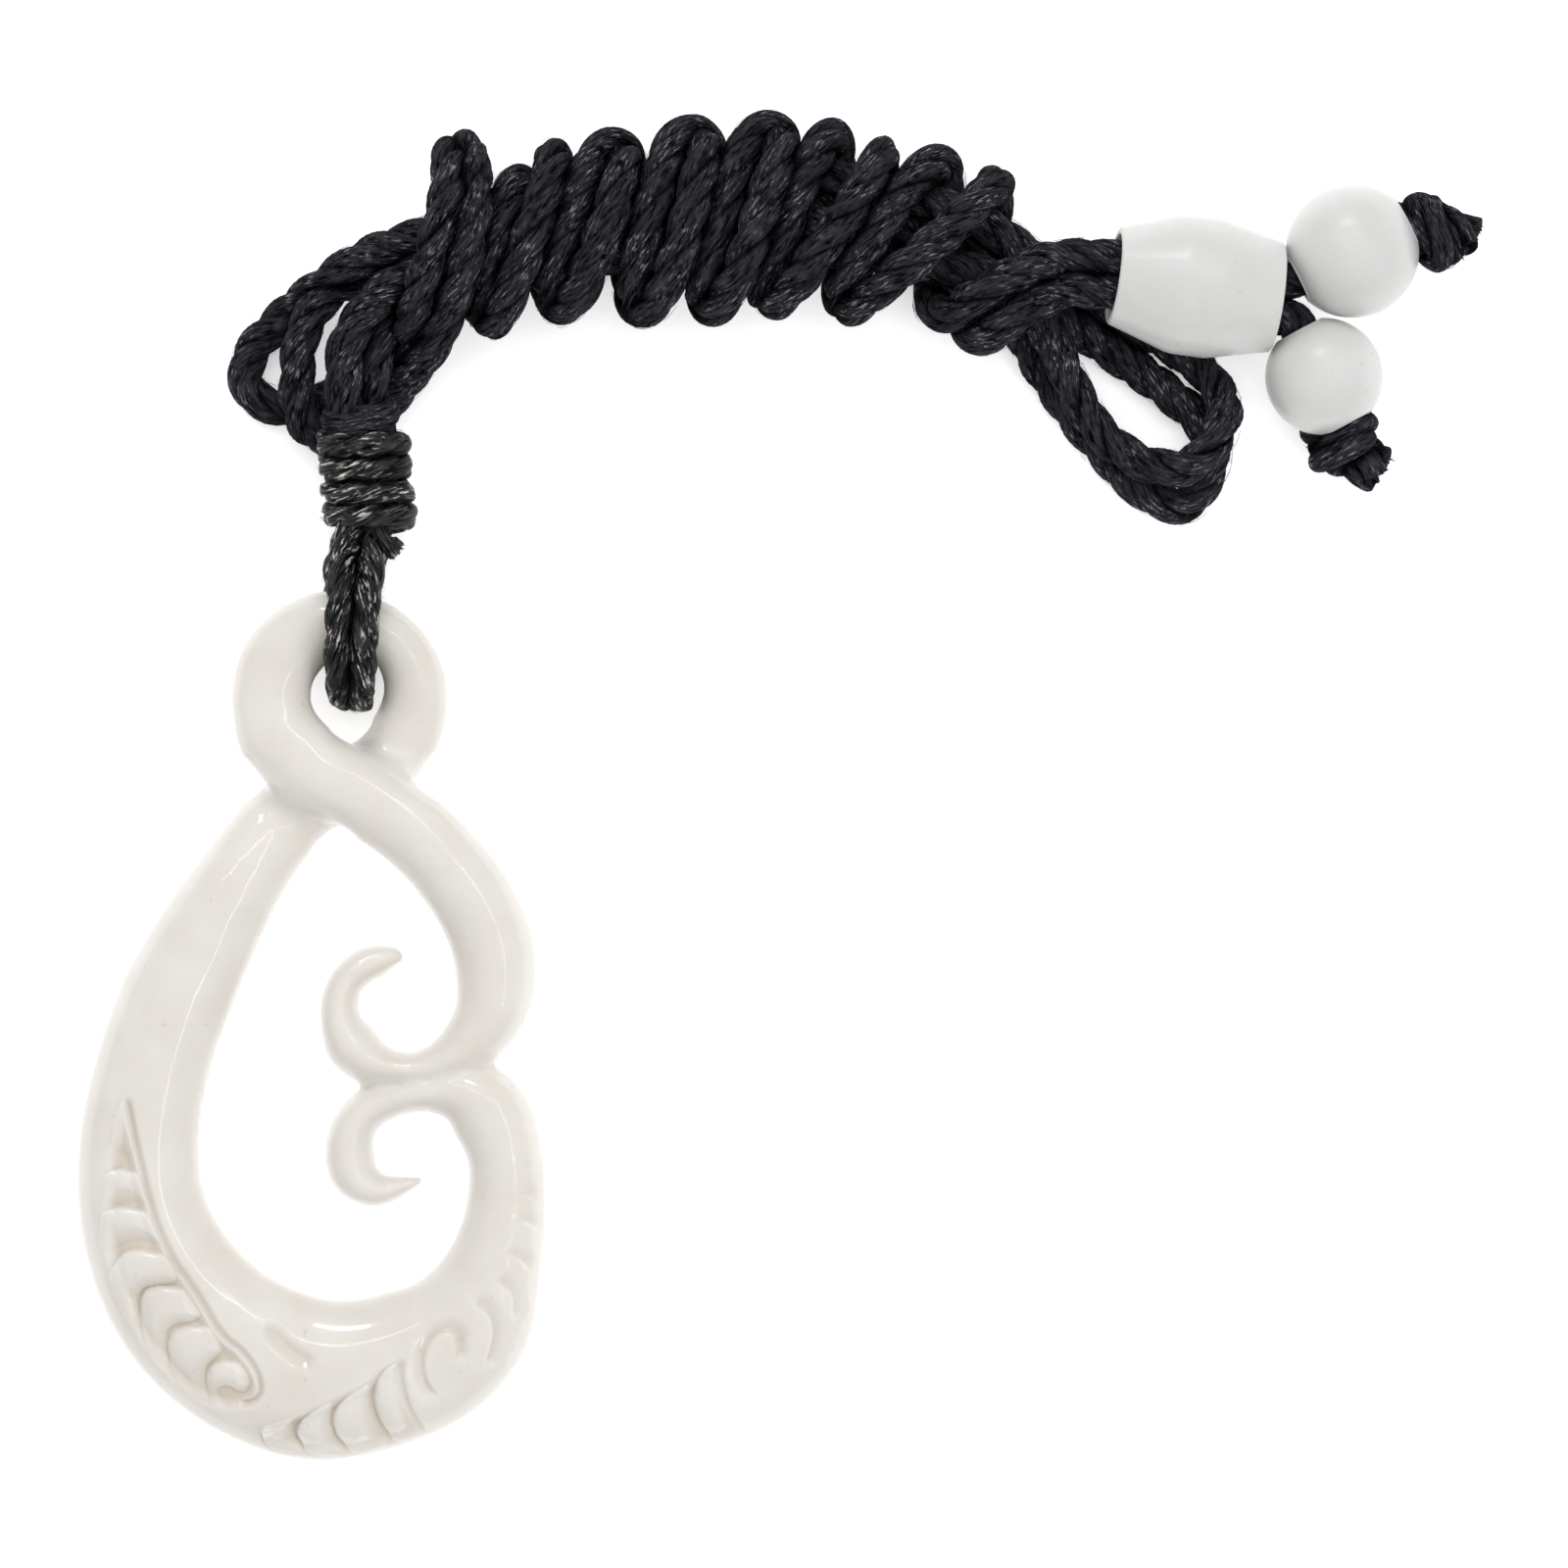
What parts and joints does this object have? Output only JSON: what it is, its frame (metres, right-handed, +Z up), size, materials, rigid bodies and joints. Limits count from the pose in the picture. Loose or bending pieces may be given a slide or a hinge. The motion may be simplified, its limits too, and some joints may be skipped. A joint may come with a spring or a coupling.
{
  "type": "carved bone twist pendant on cord",
  "caption": "Flat carved bone twist with two inner curls and carved leaf lines, hanging by a bound cord loop from a wound neck cord with bone beads and end knots.",
  "frame": {"origin": "bottom centre of the carved pendant's box, on the surface it lies on", "axes": "+Y from the lower curl to the eye, +X towards the wound cord and beads, +Z up from the surface"},
  "size_m": [0.0731, 0.0689, 0.0077],
  "materials": {
    "bone": "polished carved bone",
    "bead_bone": "smooth bone, semi-gloss",
    "neck_cord": "black three-ply waxed cotton cord",
    "waxed_cord": "black waxed cord, slightly shiny",
    "binding_thread": "black waxed thread, wound tight"
  },
  "bodies": {
    "root": {"pendant": "bone", "binding": "binding_thread", "hanging_loop_a": "waxed_cord", "hanging_loop_b": "waxed_cord", "hank_body": "neck_cord", "neck_cord_start_a": "neck_cord", "neck_cord_start_b": "neck_cord", "left_loop_a": "neck_cord", "left_loop_b": "neck_cord", "right_loop_a": "neck_cord", "right_loop_b": "neck_cord", "cord_tail_a": "neck_cord", "cord_tail_b": "neck_cord", "barrel_bead": "bead_bone", "round_bead_a": "bead_bone", "round_bead_b": "bead_bone", "end_knot_a": "neck_cord", "end_knot_b": "neck_cord"}
  },
  "joints": []
}
